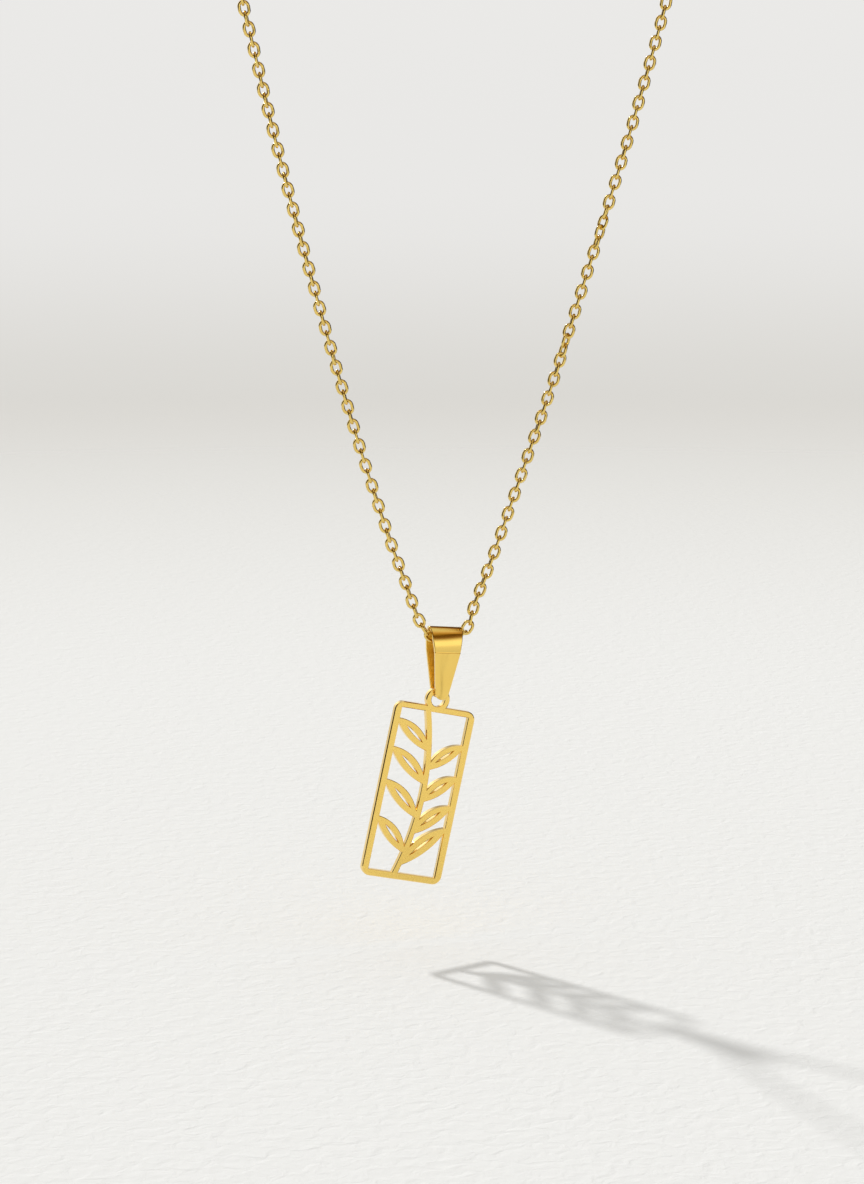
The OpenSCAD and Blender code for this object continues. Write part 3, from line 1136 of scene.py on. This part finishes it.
def paper_material(colour):
    """Uncoated off-white paper: matt, with a fine felt-marked grain. Far off it fades away."""
    material = bpy.data.materials.new("Felt-marked paper")
    material.use_nodes = True
    tree = material.node_tree
    shader = tree.nodes["Principled BSDF"]
    place = add_node(tree, "ShaderNodeTexCoord").outputs["Object"]
    grain = add_node(
        tree, "ShaderNodeTexNoise", {},
        {"Vector": place, "Scale": 1 / FELT_MARK, "Detail": 3.0, "Distortion": 0.6},
    )
    bump = add_node(
        tree, "ShaderNodeBump", {}, {"Height": grain.outputs["Fac"], "Distance": FELT_DEPTH}
    )
    shader.inputs["Base Color"].default_value = (*colour, 1.0)
    shader.inputs["Roughness"].default_value = 1.0
    shader.inputs["Specular IOR Level"].default_value = 0.0
    tree.links.new(bump.outputs["Normal"], shader.inputs["Normal"])
    from_object = add_node(
        tree, "ShaderNodeVectorMath", {"operation": "DISTANCE"},
        {0: place, 1: (0.0, FOLD.y, FLOOR_Z)},
    )
    far = add_node(
        tree, "ShaderNodeMapRange", {"interpolation_type": "SMOOTHSTEP"},
        {"Value": from_object.outputs["Value"], "From Min": FADE_FROM, "From Max": FADE_TO},
    )
    clear = add_node(tree, "ShaderNodeBsdfTransparent")
    both = add_node(
        tree, "ShaderNodeMixShader", {}, {0: far.outputs["Result"], 1: shader, 2: clear}
    )
    tree.links.new(both.outputs[0], tree.nodes["Material Output"].inputs["Surface"])
    return material


class NECKLACE_OT_stage(bpy.types.Operator):
    """Set up the floor, the lights and the camera"""

    bl_idname = "necklace.stage"
    bl_label = "Stage"

    def execute(self, context):
        stage = context.scene.necklace_stage
        scene = context.scene
        scene.view_settings.view_transform = "Standard"
        turns = [k / FLOOR_SIDES * math.tau for k in range(FLOOR_SIDES)]
        rim = [(math.cos(t) * FLOOR_RADIUS, math.sin(t) * FLOOR_RADIUS, FLOOR_Z) for t in turns]
        disc = mesh_from("floor", rim, [list(range(FLOOR_SIDES))])
        floor = new_object("floor", disc, paper_material(stage.paper))
        make_surroundings()

        sun = bpy.data.lights.new("sun", "SUN")
        sun.energy = stage.sun_energy
        sun.angle = stage.sun_spread
        lamp = bpy.data.objects.new("sun", sun)
        scene.collection.objects.link(lamp)
        lamp.rotation_euler = SUN_FALLS.to_track_quat("-Z", "Y").to_euler()

        camera = bpy.data.cameras.new("camera")
        camera.lens = stage.lens
        camera.sensor_width = 36.0
        camera.clip_start = 0.01
        camera.clip_end = 20.0
        view = bpy.data.objects.new("camera", camera)
        scene.collection.objects.link(view)
        # The sensor's width lies along the picture's longer side, its height
        focal = stage.lens / camera.sensor_width * PICTURE_HEIGHT
        back = Vector(heading(math.degrees(stage.azimuth), math.degrees(stage.elevation)))
        right = (-back).cross(Vector((0, 0, 1))).normalized()
        up = right.cross(-back)
        across = (stage.tag_pixel_x - PICTURE_WIDTH / 2) * stage.distance / focal
        down = (stage.tag_pixel_y - PICTURE_HEIGHT / 2) * stage.distance / focal
        tag_middle = Vector((TAG_MIDDLE_X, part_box("tag")[0].y, TAG_MIDDLE_Z))
        view.location = tag_middle + back * stage.distance - right * across + up * down
        view.rotation_euler = (-back).to_track_quat("-Z", "Y").to_euler()
        scene.camera = view
        return {"FINISHED"}


class NECKLACE_PT_panel(bpy.types.Panel):
    """The necklace's pieces"""

    bl_label = "Necklace"
    bl_idname = "NECKLACE_PT_panel"
    bl_space_type = "VIEW_3D"
    bl_region_type = "UI"
    bl_category = "Necklace"

    def draw(self, context):
        for operator in OPERATORS:
            self.layout.operator(operator.bl_idname)


SETTINGS = {
    "necklace_tag": TagSettings,
    "necklace_bail": BailSettings,
    "necklace_chain": ChainSettings,
    "necklace_clasp": ClaspSettings,
    "necklace_stage": StageSettings,
}
OPERATORS = (
    NECKLACE_OT_tag,
    NECKLACE_OT_bail,
    NECKLACE_OT_chain,
    NECKLACE_OT_clasp,
    NECKLACE_OT_stage,
)


def register():
    for group in SETTINGS.values():
        bpy.utils.register_class(group)
    for operator in OPERATORS:
        bpy.utils.register_class(operator)
    bpy.utils.register_class(NECKLACE_PT_panel)
    for name, group in SETTINGS.items():
        setattr(bpy.types.Scene, name, bpy.props.PointerProperty(type=group))


def unregister():
    for name in SETTINGS:
        delattr(bpy.types.Scene, name)
    bpy.utils.unregister_class(NECKLACE_PT_panel)
    for operator in reversed(OPERATORS):
        bpy.utils.unregister_class(operator)
    for group in reversed(SETTINGS.values()):
        bpy.utils.unregister_class(group)


def main():
    register()
    bpy.ops.necklace.tag()
    bpy.ops.necklace.bail()
    bpy.ops.necklace.chain()
    bpy.ops.necklace.clasp()
    bpy.ops.necklace.stage()


if __name__ == "__main__":
    main()
